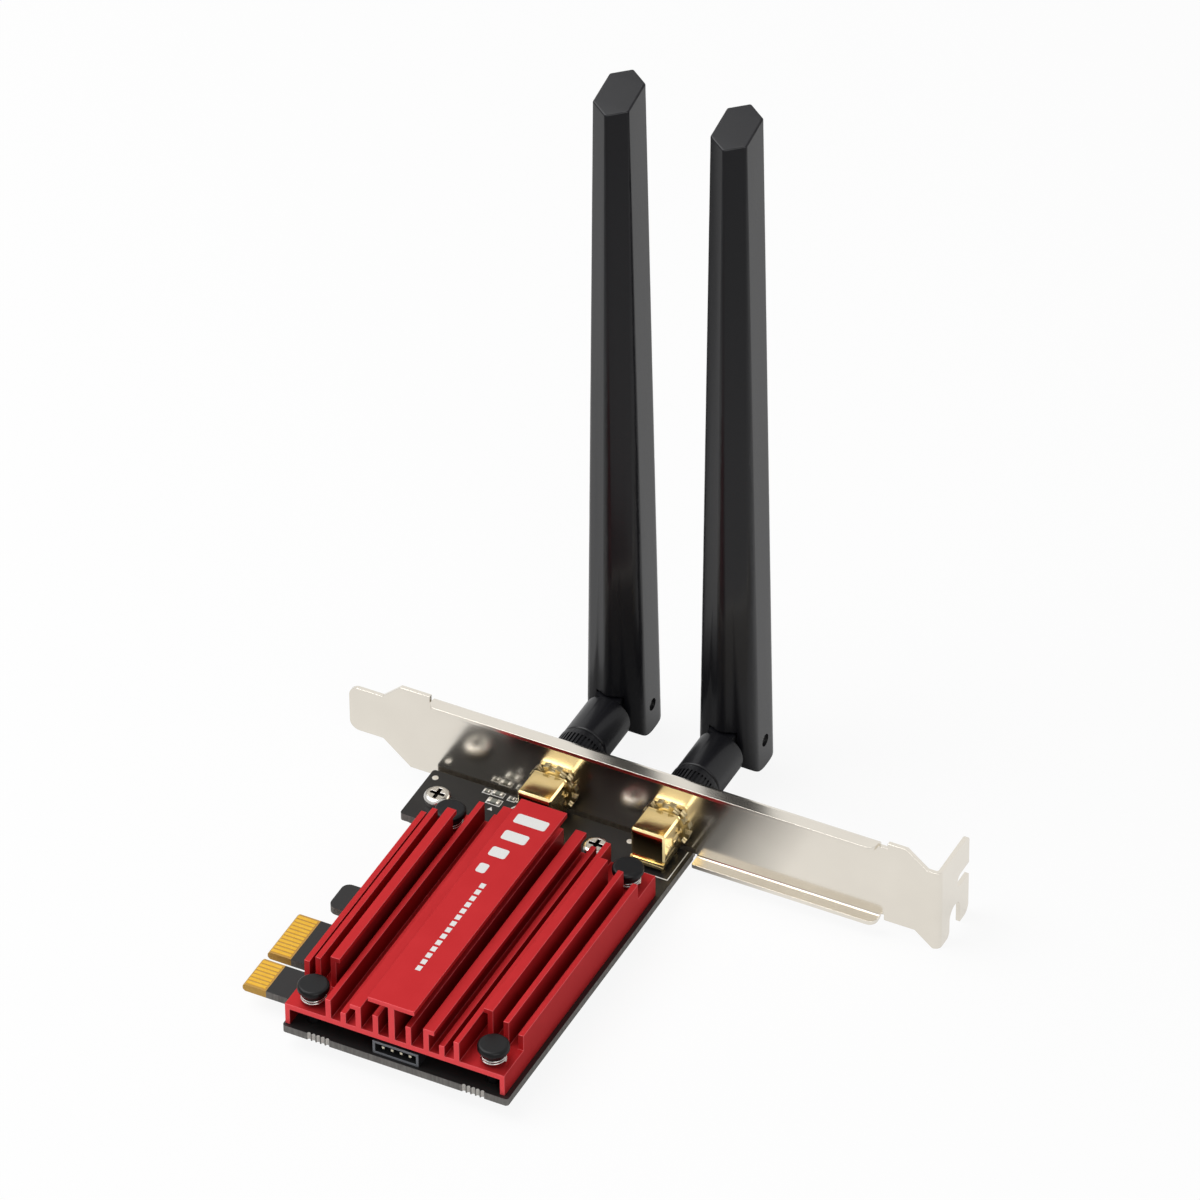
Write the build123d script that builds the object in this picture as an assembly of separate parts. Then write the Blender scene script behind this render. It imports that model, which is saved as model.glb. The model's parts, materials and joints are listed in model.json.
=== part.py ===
from build123d import *
from math import cos, pi
import os

# Wireless network card for a PCI Express x1 slot. Millimetres.
# X runs along the bracket, Y out through the bracket towards the aerials, Z up off the board.
# The origin is the middle of the edge connector's key, at the contact tips, on the board's mid-plane.

# Circuit board, seen from above
board_thickness = 1.6
board_left = 11.55
board_front = -15.2
board_corner = 0.6
board_rear_gap = 0.6
board_side_margin = 0.95
left_ear_x = 3.65
left_ear_depth = 13.6
retention_x = 3.8
retention_start = 16.8
retention_length = 7.1
retention_corner = 1.6

# Edge connector
contact_pitch = 1.0
contact_width = 0.7
contact_length = 4.4
contact_thickness = 0.05
contacts_long_side = 11
contacts_short_side = 7
key_width = 1.9
tongue_margin = 0.475
tip_bevel = 0.45
key_depth = 8.25

# Break-off half holes along the front edge
bite_diameter = 0.7
bite_pitch = 0.93
bites_in_group = 5
bite_group_left = 5.4
bite_group_right = 36.5

# Bracket, one folded sheet
sheet = 0.86
bend_inside = 0.4
plate_below_board = 0.25
bracket_height = 18.42
bracket_tip = -13.97
tongue_length = 6.9
tongue_rise = 4.9
tongue_width = 10.0
tongue_corner = 2.0
left_slope_low = 5.6
left_slope_high = 3.8
left_shoulder = 6.1
flange_depth = 2.5
flange_corner = 1.6
bend_relief = 0.8
tab_face = 106.05
tab_drop = 3.0
tab_width = 18.0
tab_depth = 12.4
tab_top_corner = 1.2
tab_low_corner = 1.9
right_shoulder_from_tab = 10.55
right_shoulder = 3.8
right_slope = 4.1
low_slope = 3.5
low_slope_from_tab = 1.45
bottom_flange_gap = 0.5
bottom_flange_corner = 0.4
bottom_flange_from_tab = 11.9
screw_notch_width = 4.42
screw_notch_from_face = 6.6
screw_notch_height = 5.8
screw_notch_mouth = 1.3
side_notch_width = 2.7
side_notch_depth = 4.9
side_notch_rise = 8.85
board_ear_width = 9.0
board_ear_depth = 13.5
board_ear_corner = 2.0

# Screws that hold the board to the bracket's ears: from the board's left or right end, from the bracket
ear_screw_left = (4.6, 8.0)
ear_screw_right = (16.1, 7.9)
ear_screw_thread = 3.0
ear_screw_head = 5.2
ear_screw_head_height = 1.7
ear_screw_round = 1.0
ear_screw_length = 4.2
cross_width = 0.7
cross_span = 2.9
cross_depth = 0.9
screw_clearance = 0.2
thread_clearance = 0.04

# Heatsink, one extrusion along Y
sink_inset_left = 0.3
sink_inset_front = 0.7
sink_width = 44.0
sink_to_bracket = 14.0
sink_length = 60.1
sink_cavity = 3.5
sink_base = 1.15
leg_thickness = 0.95
fin_thickness = 1.1
cap_thickness = 1.0
plate_width = 9.3
plate_height = 8.2
plate_share = 0.4895
stem_thickness = 1.25
# Each fin: place as a share of the way across, height over the base, cap reach to the left and to the right
fins = {
    "left_edge": (0.0, 4.3, 0.0, 0.0),
    "left_second": (0.0536, 5.9, 0.0, 0.0),
    "left_capped": (0.1259, 7.2, 0.0, 0.75),
    "left_plain": (0.1923, 4.3, 0.0, 0.0),
    "left_low": (0.2622, 2.3, 0.0, 0.0),
    "left_hook": (0.3333, 5.0, 1.1, 0.0),
    "beside_plate": (0.4138, 4.2, 0.0, 0.0),
    "beyond_plate": (0.5676, 4.2, 0.0, 0.0),
    "right_hook": (0.6503, 5.0, 0.0, 1.1),
    "right_low": (0.7226, 2.3, 0.0, 0.0),
    "right_plain": (0.7914, 4.3, 0.0, 0.0),
    "right_capped": (0.859, 7.0, 0.75, 0.0),
    "right_second": (0.9324, 5.4, 0.0, 0.0),
    "right_edge": (1.0, 3.4, 0.0, 0.0),
}
# Pockets milled round the push pins reach in to the plain fins, less a gap
pocket_gap = 0.5
pocket_front = 7.6
pocket_rear = 7.0

# Push pins and their springs
pin_inset_left = 4.15
pin_inset_right = 3.75
pin_inset_front = 3.3
pin_inset_rear = 3.6
pin_head = 5.9
pin_head_height = 1.2
pin_head_edge = 0.6
pin_tier = 4.7
pin_tier_height = 1.0
pin_shank = 2.6
pin_clearance = 0.2
pin_barb = 3.5
pin_tip = 1.6
pin_tail = 2.8
pin_split = 0.6
spring_wire = 0.4
spring_diameter = 4.8
spring_length = 1.6
spring_turns = 2.0
spring_seat = 0.05

# Radio module under the heatsink
module_width = 22.0
module_length = 30.0
module_thickness = 0.8
module_rise = 0.9
module_middle = 34.0
module_start = 8.0
shield_margin = 1.6
shield_length = 19.0
shield_height = 1.2
shield_corner = 0.8
socket_width = 24.0
socket_depth = 7.0
socket_height = 2.6
socket_grip = 3.8
socket_clearance = 0.05
standoff_diameter = 4.0
module_screw_head = 4.4
module_screw_head_height = 0.5
module_screw_thread = 2.0
module_notch = 2.8

# Four-way header at the front edge
header_left = 29.5
header_width = 9.2
header_depth = 6.0
header_height = 2.9
header_wall = 0.5
header_setback = 0.6
header_pin_count = 4
header_pitch = 1.8
header_pin = 0.5
header_pin_tail = 2.2
header_hole = 1.0

# Coaxial jacks
jack_inset = 5.6
jack_spacing = 23.1
block_width = 6.8
block_depth = 7.0
block_height = 7.6
block_stand = 0.9
block_chamfer = 0.35
block_lip_height = 1.2
block_lip = 0.35
block_gap = 1.0
block_wall = 1.2
leg_diameter = 1.0
leg_spacing = 5.08
leg_tail = 1.6
leg_clearance = 0.1
barrel_diameter = 6.3
barrel_bore = 4.6
barrel_length = 8.2
barrel_hole = 6.6
neck_diameter = 7.2
neck_length = 0.35
insulator_diameter = 4.1
insulator_length = 10.5
centre_pin_diameter = 0.9
centre_pin_reach = 3.6
pin_well = 2.0
washer_diameter = 9.8
washer_teeth = 12
washer_tooth_depth = 0.9
nut_across_flats = 8.0
nut_thickness = 2.3

# Aerials
collar_diameter = 9.5
collar_start = 3.6
collar_length = 8.0
collar_rim = 1.2
collar_lip = 2.3
collar_ridges = 40
collar_ridge_depth = 0.3
collar_thread_clearance = 0.1
neck_radius = 2.6
neck_ring = 2.95
neck_ring_length = 0.6
running_clearance = 0.08
base_diameter = 9.3
base_gap = 0.35
base_shoulder = 6.4
base_edge = 0.5
tongue_thickness = 5.0
tongue_radius = 4.5
hinge_reach = 28.7
hinge_pin_diameter = 2.4
hinge_pin_recess = 0.7
hinge_clearance = 0.04
fork_clearance = 0.35
blade_length = 139.1
blade_top_width = 7.05
blade_top_depth = 11.3
blade_top_flat = 6.8
blade_top_slope = 0.25
blade_top_corner = 0.5
blade_top_edge = 0.35
blade_foot_width = 12.0
blade_foot_depth = 14.2
blade_foot_flat = 8.4
blade_foot_corner = 2.6
plug_diameter = 4.0
plug_reach = 3.4
plug_hole = 1.1
plug_floor = 0.3
radiator_thickness = 0.8
radiator_width = 7.0
radiator_length = 96.0
radiator_clearance = 0.1

# Places that follow from the sizes above
board_top = board_thickness / 2
board_bottom = -board_thickness / 2
sink_left = board_left + sink_inset_left
sink_right = sink_left + sink_width
sink_front = board_front + sink_inset_front
sink_rear = sink_front + sink_length
sink_floor = board_top + sink_cavity
sink_top = sink_floor + sink_base
fin_run = sink_width - fin_thickness
fin_places = {name: fin_thickness / 2 + fin[0] * fin_run for name, fin in fins.items()}
plate_middle = fin_thickness / 2 + plate_share * fin_run
pocket_left = fin_places["left_plain"] - fin_thickness / 2 - pocket_gap
pocket_right = fin_places["right_plain"] + fin_thickness / 2 + pocket_gap
bracket_face = sink_rear + sink_to_bracket
board_right = sink_right + board_side_margin
board_rear = bracket_face - board_rear_gap
bracket_bottom = board_bottom - plate_below_board
bracket_top = bracket_bottom + bracket_height
bracket_outside = bracket_face + sheet
bend_outside = bend_inside + sheet
tab_low = bracket_bottom - tab_drop
ear_face = board_bottom - sheet
bottom_flange_start = board_right + bottom_flange_gap
plate_top = sink_top + plate_height
pin_spots = [
    (sink_left + pin_inset_left, sink_front + pin_inset_front),
    (sink_right - pin_inset_right, sink_front + pin_inset_front),
    (sink_left + pin_inset_left, sink_rear - pin_inset_rear),
    (sink_right - pin_inset_right, sink_rear - pin_inset_rear),
]
ear_screws = [
    (left_ear_x + ear_screw_left[0], bracket_face - ear_screw_left[1]),
    (board_right - ear_screw_right[0], bracket_face - ear_screw_right[1]),
]
module_end = module_start + module_length
module_floor = board_top + module_rise
module_top = module_floor + module_thickness
shield_left = module_middle - module_width / 2 + shield_margin
shield_right = module_middle + module_width / 2 - shield_margin
shield_front = module_start + socket_grip + shield_margin
shield_rear = shield_front + shield_length
shield_top = module_top + shield_height
header_front = board_front + header_setback
header_rear = header_front + header_depth
header_leg = header_rear - header_wall / 2
header_axis = board_top + header_height / 2
header_first = header_left + (header_width - (header_pin_count - 1) * header_pitch) / 2
header_places = [header_first + i * header_pitch for i in range(header_pin_count)]
jack_right = board_right - jack_inset
jack_left = jack_right - jack_spacing
block_bottom = board_top + block_stand
block_top = block_bottom + block_height
jack_height = (block_bottom + block_top) / 2
block_rear = bracket_face - block_gap
block_front = block_rear - block_depth
block_middle = (block_front + block_rear) / 2
leg_spots = [(x * leg_spacing / 2, y * leg_spacing / 2) for x in (-1, 1) for y in (-1, 1)]
barrel_end = bracket_face + barrel_length
insulator_start = block_front + block_lip + block_wall
insulator_end = insulator_start + insulator_length
collar_end = bracket_face + collar_start + collar_length
ring_start = collar_end - collar_lip - running_clearance - neck_ring_length
hinge_y = bracket_face + hinge_reach
fork_reach = base_shoulder - fork_clearance


def box(low, high):
    """A block between two opposite corners."""
    size = [b - a for a, b in zip(low, high)]
    middle = [(a + b) / 2 for a, b in zip(low, high)]
    return Pos(*middle) * Box(*size)


def patch(low, high):
    """A flat rectangle between two opposite corners."""
    width = high[0] - low[0]
    height = high[1] - low[1]
    return Pos(low[0] + width / 2, low[1] + height / 2) * Rectangle(width, height)


def upright(x, y, z0, z1, diameter):
    """A round bar standing along Z."""
    bar = Cylinder(diameter / 2, z1 - z0, align=(Align.CENTER, Align.CENTER, Align.MIN))
    return Pos(x, y, z0) * bar


def turned(profile):
    """A body turned about Y at the origin, from (radius, y) points."""
    return revolve(make_face(Polyline(*profile, close=True)), Axis.Y)


def lying(y0, y1, diameter):
    """A round bar along Y at the origin."""
    radius = diameter / 2
    return turned([(0, y0), (radius, y0), (radius, y1), (0, y1)])


def facing_front(x, y, z):
    """A drawing plane with X to the right and Z up."""
    return Plane(origin=(x, y, z), x_dir=(1, 0, 0), z_dir=(0, -1, 0))


def facing_side(x, y, z):
    """A drawing plane with Y to the right and Z up."""
    return Plane(origin=(x, y, z), x_dir=(0, 1, 0), z_dir=(1, 0, 0))


def push_back(face, depth):
    """A drawing on a front-facing plane, carried back along Y."""
    return extrude(face, depth, dir=(0, 1, 0))


def nearest(vertices, point):
    """The corner that lies nearest to a point."""
    return min(vertices, key=lambda v: (v.center() - Vector(*point)).length)


def rounded(face, points, radius):
    """A flat face with the corners nearest to the given points rounded."""
    return fillet([nearest(face.vertices(), p) for p in points], radius)


def tongue_span(count):
    """How far a contact tongue reaches from the middle of the key, for its number of contacts."""
    return key_width / 2 + (count - 1) * contact_pitch + contact_width + 2 * tongue_margin


def contact_places():
    """Middle of every contact along Y, on both tongues."""
    first = key_width / 2 + tongue_margin + contact_width / 2
    towards = [first + i * contact_pitch for i in range(contacts_long_side)]
    away = [-first - i * contact_pitch for i in range(contacts_short_side)]
    return away + towards


def board():
    """Circuit board: outline with tongues, tab and ear, then the drilled holes."""
    tongue_rear = tongue_span(contacts_long_side)
    tongue_front = -tongue_span(contacts_short_side)
    retention_end = retention_start + retention_length
    ear_front = board_rear - left_ear_depth
    face = make_face(Polyline(
        (board_left, board_front),
        (board_right, board_front),
        (board_right, board_rear),
        (left_ear_x, board_rear),
        (left_ear_x, ear_front),
        (board_left, ear_front),
        (board_left, retention_end),
        (retention_x, retention_end),
        (retention_x, retention_start),
        (board_left, retention_start),
        (board_left, tongue_rear),
        (0, tongue_rear),
        (0, tongue_front),
        (board_left, tongue_front),
        close=True,
    ))
    face = rounded(face, [(retention_x, retention_start), (retention_x, retention_end)], retention_corner)
    face = rounded(face, [(board_left, board_front), (board_right, board_front)], board_corner)
    face = rounded(face, [(left_ear_x, board_rear), (left_ear_x, ear_front)], board_corner)
    face -= patch((0, -key_width / 2), (key_depth, key_width / 2))
    face -= Pos(key_depth, 0) * Circle(key_width / 2)
    for group in (bite_group_left, bite_group_right):
        for i in range(bites_in_group):
            face -= Pos(board_left + group + i * bite_pitch, board_front) * Circle(bite_diameter / 2)
    plate = Pos(0, 0, board_bottom) * extrude(face, board_thickness)
    tips = [edge for edge in plate.edges().filter_by(Axis.Y) if abs(edge.center().X) < tip_bevel]
    plate = chamfer(tips, tip_bevel)
    holes = [(x, y, ear_screw_thread + screw_clearance) for x, y in ear_screws]
    holes += [(x, y, pin_shank + pin_clearance) for x, y in pin_spots]
    holes += [(x, header_leg, header_hole) for x in header_places]
    for jack in (jack_left, jack_right):
        holes += [(jack + x, block_middle + y, leg_diameter + leg_clearance) for x, y in leg_spots]
        holes += [(jack, block_middle, centre_pin_diameter + leg_clearance)]
    for x, y, diameter in holes:
        plate -= upright(x, y, board_bottom, board_top, diameter)
    return plate


def contacts(z):
    """One row of gold contacts lying on a face of the board."""
    row = []
    for y in contact_places():
        low = (tip_bevel, y - contact_width / 2, z)
        row.append(box(low, (contact_length, y + contact_width / 2, z + contact_thickness)))
    return row


def flange(start, end, face_z, side, depth, corners):
    """A strip bent off the plate towards the board: side 1 along the top edge, -1 along the bottom."""
    bend_z = face_z - side * bend_outside
    inner_z = face_z - side * sheet
    half_turn = cos(pi / 4)
    outer_mid = (bend_outside * half_turn - bend_inside, bend_z + side * bend_outside * half_turn)
    inner_mid = (bend_inside * half_turn - bend_inside, bend_z + side * bend_inside * half_turn)
    section = [
        ThreePointArc((sheet, bend_z), outer_mid, (-bend_inside, face_z)),
        Polyline((-bend_inside, face_z), (-depth, face_z), (-depth, inner_z), (-bend_inside, inner_z)),
        ThreePointArc((-bend_inside, inner_z), inner_mid, (0, bend_z)),
        Line((0, bend_z), (sheet, bend_z)),
    ]
    strip = extrude(facing_side(start, bracket_face, 0) * make_face(section), end - start)
    for end_index, corner in zip((0, -1), corners):
        strip = fillet(strip.edges().filter_by(Axis.Z).sort_by(Axis.X)[end_index], corner)
    return strip


def tab():
    """The tab bent outwards at the bracket's end, with its screw notch and its side notch."""
    bend_x = tab_face - bend_outside
    bend_y = sheet + bend_inside
    inner_x = tab_face - sheet
    half_turn = cos(pi / 4)
    outer_mid = (bend_x + bend_outside * half_turn, bend_y - bend_outside * half_turn)
    inner_mid = (bend_x + bend_inside * half_turn, bend_y - bend_inside * half_turn)
    section = [
        ThreePointArc((bend_x, 0), outer_mid, (tab_face, bend_y)),
        Polyline((tab_face, bend_y), (tab_face, tab_depth), (inner_x, tab_depth), (inner_x, bend_y)),
        ThreePointArc((inner_x, bend_y), inner_mid, (bend_x, sheet)),
        Line((bend_x, sheet), (bend_x, 0)),
    ]
    leaf = Pos(0, bracket_face, tab_low) * extrude(make_face(section), tab_width)
    notch_end = tab_low + screw_notch_height - screw_notch_width / 2
    notch_side = screw_notch_width / 2
    notch = Pos(screw_notch_from_face, notch_end) * Circle(notch_side)
    notch += patch((screw_notch_from_face - notch_side, tab_low - sheet),
                   (screw_notch_from_face + notch_side, notch_end))
    slot_low = tab_low + side_notch_rise
    slot_end = tab_depth - side_notch_depth + side_notch_width / 2
    slot = Pos(slot_end, slot_low + side_notch_width / 2) * Circle(side_notch_width / 2)
    slot += patch((slot_end, slot_low), (tab_depth + sheet, slot_low + side_notch_width))
    leaf -= extrude(facing_side(inner_x - sheet, bracket_face, 0) * (notch + slot), 3 * sheet)
    rear = bracket_face + tab_depth
    mouth = bracket_face + screw_notch_from_face - notch_side
    corners = [
        ((inner_x, rear, tab_low + tab_width), tab_top_corner),
        ((inner_x, rear, tab_low), tab_low_corner),
        ((inner_x, mouth, tab_low), screw_notch_mouth),
    ]
    for point, radius in corners:
        edge = min(leaf.edges().filter_by(Axis.X), key=lambda e: (e.center() - Vector(*point)).length)
        leaf = fillet(edge, radius)
    return leaf


def bracket():
    """The folded bracket: flat plate, strips bent towards the board and the tab bent outwards."""
    neck = bracket_tip + tongue_length
    tongue_low = bracket_bottom + tongue_rise
    tongue_high = tongue_low + tongue_width
    shoulder = neck + left_slope_high
    shoulder_end = shoulder + left_shoulder
    right_start = tab_face - right_shoulder_from_tab
    right_end = right_start + right_shoulder
    top_bend = bracket_top - bend_outside
    bottom_bend = bracket_bottom + bend_outside
    low_end = tab_face - low_slope_from_tab
    tab_high = tab_low + tab_width
    bend_x = tab_face - bend_outside
    flange_end = tab_face - bottom_flange_from_tab
    face = make_face(Polyline(
        (bracket_tip, tongue_low),
        (neck, tongue_low),
        (neck + left_slope_low, bracket_bottom),
        (bottom_flange_start - bend_relief, bracket_bottom),
        (bottom_flange_start - bend_relief, bottom_bend),
        (flange_end + bend_relief, bottom_bend),
        (flange_end + bend_relief, bracket_bottom),
        (low_end - low_slope, bracket_bottom),
        (low_end, tab_low),
        (bend_x, tab_low),
        (bend_x, tab_high),
        (right_end + right_slope, tab_high),
        (right_end, bracket_top),
        (right_start, bracket_top),
        (right_start, top_bend),
        (shoulder_end, top_bend),
        (shoulder_end, bracket_top),
        (shoulder, bracket_top),
        (neck, tongue_high),
        (bracket_tip, tongue_high),
        close=True,
    ))
    face = rounded(face, [(bracket_tip, tongue_low), (bracket_tip, tongue_high)], tongue_corner)
    half_ear = board_ear_width / 2
    for x, _ in ear_screws:
        face -= patch((x - half_ear - bend_relief, bracket_bottom),
                      (x + half_ear + bend_relief, ear_face + bend_outside))
    for jack in (jack_left, jack_right):
        face -= Pos(jack, jack_height) * Circle(barrel_hole / 2)
    folded = push_back(facing_front(0, bracket_face, 0) * face, sheet)
    folded += flange(shoulder_end + bend_relief, right_start - 2 * bend_relief, bracket_top, 1,
                     flange_depth, (flange_corner, flange_corner))
    folded += flange(bottom_flange_start, flange_end, bracket_bottom, -1,
                     flange_depth, (bottom_flange_corner, flange_corner))
    for x, y in ear_screws:
        ear = flange(x - half_ear, x + half_ear, ear_face, -1,
                     board_ear_depth, (board_ear_corner, board_ear_corner))
        folded += ear - upright(x, y, ear_face, board_bottom, ear_screw_thread + 2 * thread_clearance)
    return folded + tab()


def ear_screw(x, y):
    """Pan-head screw with a cross recess, through the board into the bracket's ear."""
    top = board_top + ear_screw_head_height
    head = upright(x, y, board_top, top, ear_screw_head)
    rim = head.edges().filter_by(GeomType.CIRCLE).sort_by(Axis.Z)[-1]
    screw = fillet(rim, ear_screw_round)
    screw += upright(x, y, board_top - ear_screw_length, board_top, ear_screw_thread)
    bar = Box(cross_span, cross_width, 2 * cross_depth)
    return screw - Pos(x, y, top) * (bar + Rot(0, 0, 90) * bar)


def heatsink():
    """Extruded heatsink: base on two legs, plain and capped fins, the name plate on its stem."""
    section = patch((0, sink_floor), (sink_width, sink_top))
    section += patch((0, board_top), (leg_thickness, sink_floor))
    section += patch((sink_width - leg_thickness, board_top), (sink_width, sink_floor))
    for name, (_, height, left_cap, right_cap) in fins.items():
        low = fin_places[name] - fin_thickness / 2
        high = low + fin_thickness
        fin_top = sink_top + height
        section += patch((low, sink_top), (high, fin_top))
        if left_cap or right_cap:
            section += patch((low - left_cap, fin_top - cap_thickness), (high + right_cap, fin_top))
    stem_left = plate_middle - stem_thickness / 2
    plate_left = plate_middle - plate_width / 2
    section += patch((stem_left, sink_top), (stem_left + stem_thickness, plate_top))
    section += patch((plate_left, plate_top - cap_thickness), (plate_left + plate_width, plate_top))
    block = push_back(facing_front(sink_left, sink_front, 0) * section, sink_length)
    pockets = [(sink_front, sink_front + pocket_front), (sink_rear - pocket_rear, sink_rear)]
    for start, end in pockets:
        block -= box((sink_left, start, sink_top), (sink_left + pocket_left, end, plate_top))
        block -= box((sink_left + pocket_right, start, sink_top), (sink_right, end, plate_top))
    for x, y in pin_spots:
        block -= upright(x, y, sink_floor, sink_top, pin_shank + pin_clearance)
    return block


def push_pin(x, y):
    """Nylon push pin: stepped head, shank through heatsink and board, split barbed tail below."""
    tier_low = sink_top + spring_length
    head_low = tier_low + pin_tier_height
    head_top = head_low + pin_head_height
    barb_top = board_bottom - pin_clearance
    barb_low = board_bottom - pin_tail
    profile = Polyline(
        (0, barb_low),
        (pin_tip / 2, barb_low),
        (pin_barb / 2, barb_top),
        (pin_shank / 2, barb_top),
        (pin_shank / 2, tier_low),
        (pin_tier / 2, tier_low),
        (pin_tier / 2, head_low),
        (pin_head / 2, head_low),
        (pin_head / 2, head_top),
        (0, head_top),
        close=True,
    )
    pin = revolve(facing_front(0, 0, 0) * make_face(profile), Axis.Z)
    rim = pin.edges().filter_by(GeomType.CIRCLE).sort_by(Axis.Z)[-1]
    pin = fillet(rim, pin_head_edge)
    pin -= box((-pin_barb, -pin_split / 2, barb_low), (pin_barb, pin_split / 2, sink_floor))
    return Pos(x, y, 0) * pin


def coil_spring(x, y):
    """Compression spring between the heatsink's base and a push pin's tier."""
    rise = spring_length - spring_wire - 2 * spring_seat
    path = Helix(rise / spring_turns, rise, (spring_diameter - spring_wire) / 2)
    section = Plane(origin=path @ 0, z_dir=path % 0) * Circle(spring_wire / 2)
    return Pos(x, y, sink_top + spring_seat + spring_wire / 2) * sweep(section, path=path)


def radio_board():
    """Small radio board, with a half-round notch at its screw."""
    low = (module_middle - module_width / 2, module_start, module_floor)
    plate = box(low, (module_middle + module_width / 2, module_end, module_top))
    return plate - upright(module_middle, module_end, module_floor, module_top, module_notch)


def radio_shield():
    """Pressed metal lid over the radio chips."""
    lid = box((shield_left, shield_front, module_top), (shield_right, shield_rear, shield_top))
    return fillet(lid.edges().filter_by(Axis.Z), shield_corner)


def thermal_pad():
    """Soft pad that fills the gap between the shield and the heatsink."""
    return box((shield_left, shield_front, shield_top), (shield_right, shield_rear, sink_floor))


def radio_socket():
    """Edge socket on the board, with the slot that grips the radio board."""
    mouth = module_start + socket_grip
    half = socket_width / 2
    body = box((module_middle - half, mouth - socket_depth, board_top),
               (module_middle + half, mouth, board_top + socket_height))
    left = module_middle - module_width / 2 - socket_clearance
    right = module_middle + module_width / 2 + socket_clearance
    return body - box((left, module_start - socket_clearance, module_floor - socket_clearance),
                      (right, mouth, module_top + socket_clearance))


def radio_standoff():
    """Round stand-off under the radio board's far end."""
    post = upright(module_middle, module_end, board_top, module_floor, standoff_diameter)
    bore = module_screw_thread + 2 * thread_clearance
    return post - upright(module_middle, module_end, board_top, module_floor, bore)


def radio_screw():
    """Low-head screw that holds the radio board down on its stand-off."""
    top = module_top + module_screw_head_height
    head = upright(module_middle, module_end, module_top, top, module_screw_head)
    return head + upright(module_middle, module_end, board_top, module_top, module_screw_thread)


def header_shroud():
    """Moulded shroud lying on the board, open to the front."""
    right = header_left + header_width
    top = board_top + header_height
    shell = box((header_left, header_front, board_top), (right, header_rear, top))
    shell -= box((header_left + header_wall, header_front, board_top + header_wall),
                 (right - header_wall, header_rear - header_wall, top - header_wall))
    half = header_pin / 2
    for x in header_places:
        shell -= box((x - half, header_rear - header_wall, board_top),
                     (x + half, header_rear, header_axis + half))
    return shell


def header_pin_row():
    """Bent square pins: forward into the shroud, down through the board."""
    half = header_pin / 2
    row = []
    for x in header_places:
        prong = box((x - half, header_front + header_wall, header_axis - half),
                    (x + half, header_leg + half, header_axis + half))
        leg = box((x - half, header_leg - half, board_bottom - header_pin_tail),
                  (x + half, header_leg + half, header_axis + half))
        row.append(prong + leg)
    return row


def at_jack(shape, x):
    """A piece built about the Y axis, moved to a jack's axis."""
    return Pos(x, 0, jack_height) * shape


def coax_jack(x):
    """Square block on four legs with a hollow threaded barrel through the bracket."""
    half = block_width / 2
    block = box((x - half, block_front, block_bottom), (x + half, block_rear, block_top))
    block = chamfer(block.edges(), block_chamfer)
    lip_top = block_bottom + block_lip_height
    block += box((x - half, block_front - block_lip, block_bottom),
                 (x + half, block_front + block_lip, lip_top))
    for dx, dy in leg_spots:
        block += upright(x + dx, block_middle + dy, board_bottom - leg_tail, lip_top, leg_diameter)
    block += at_jack(lying(block_middle, block_rear + neck_length, neck_diameter), x)
    block += at_jack(lying(block_middle, barrel_end, barrel_diameter), x)
    block -= at_jack(lying(insulator_start, insulator_end, insulator_diameter + 2 * thread_clearance), x)
    block -= at_jack(lying(insulator_end, barrel_end, barrel_bore), x)
    return block - upright(x, block_middle, block_bottom, jack_height, pin_well)


def jack_insulator(x):
    """White insulator inside the jack, drilled for the centre pin."""
    bush = lying(insulator_start, insulator_end, insulator_diameter)
    bush -= lying(insulator_start, insulator_end, centre_pin_diameter + 2 * thread_clearance)
    return at_jack(bush, x) - upright(x, block_middle, block_bottom, jack_height, pin_well)


def jack_pin(x):
    """Centre pin along the jack, with its leg down through the board."""
    start = block_middle - centre_pin_diameter / 2
    rod = at_jack(lying(start, insulator_end + centre_pin_reach, centre_pin_diameter), x)
    return rod + upright(x, block_middle, board_bottom - leg_tail, jack_height, centre_pin_diameter)


def lock_washer(x):
    """Toothed lock washer squeezed between the jack's neck and the bracket."""
    start = block_rear + neck_length
    ring = Circle(washer_diameter / 2) - Circle(barrel_diameter / 2 + thread_clearance)
    gap = pi * washer_diameter / washer_teeth / 2
    for i in range(washer_teeth):
        tooth_gap = Pos(washer_diameter / 2, 0) * Rectangle(2 * washer_tooth_depth, gap)
        ring -= Rot(0, 0, 360 * i / washer_teeth) * tooth_gap
    return push_back(facing_front(x, start, jack_height) * ring, bracket_face - start)


def jack_nut(x):
    """Hexagon nut outside the bracket."""
    hexagon = RegularPolygon(nut_across_flats / 2, 6, major_radius=False)
    hexagon -= Circle(barrel_diameter / 2 + thread_clearance)
    return push_back(facing_front(x, bracket_outside, jack_height) * hexagon, nut_thickness)


def antenna_collar(x):
    """Ridged collar that screws onto the jack, with a lip behind the base's retaining ring."""
    start = bracket_face + collar_start
    outer = collar_diameter / 2
    thread = barrel_diameter / 2 + collar_thread_clearance
    lip = neck_radius + running_clearance
    sleeve = turned([
        (thread, start),
        (outer, start),
        (outer, collar_end),
        (lip, collar_end),
        (lip, collar_end - collar_lip),
        (thread, collar_end - collar_lip),
    ])
    groove_width = pi * collar_diameter / collar_ridges / 2
    groove_length = collar_length - 2 * collar_rim
    groove = Box(2 * collar_ridge_depth, groove_length, groove_width)
    groove = Pos(outer, start + collar_length / 2, 0) * groove
    sleeve -= [Rot(0, 360 * i / collar_ridges, 0) * groove for i in range(collar_ridges)]
    return at_jack(sleeve, x)


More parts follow.
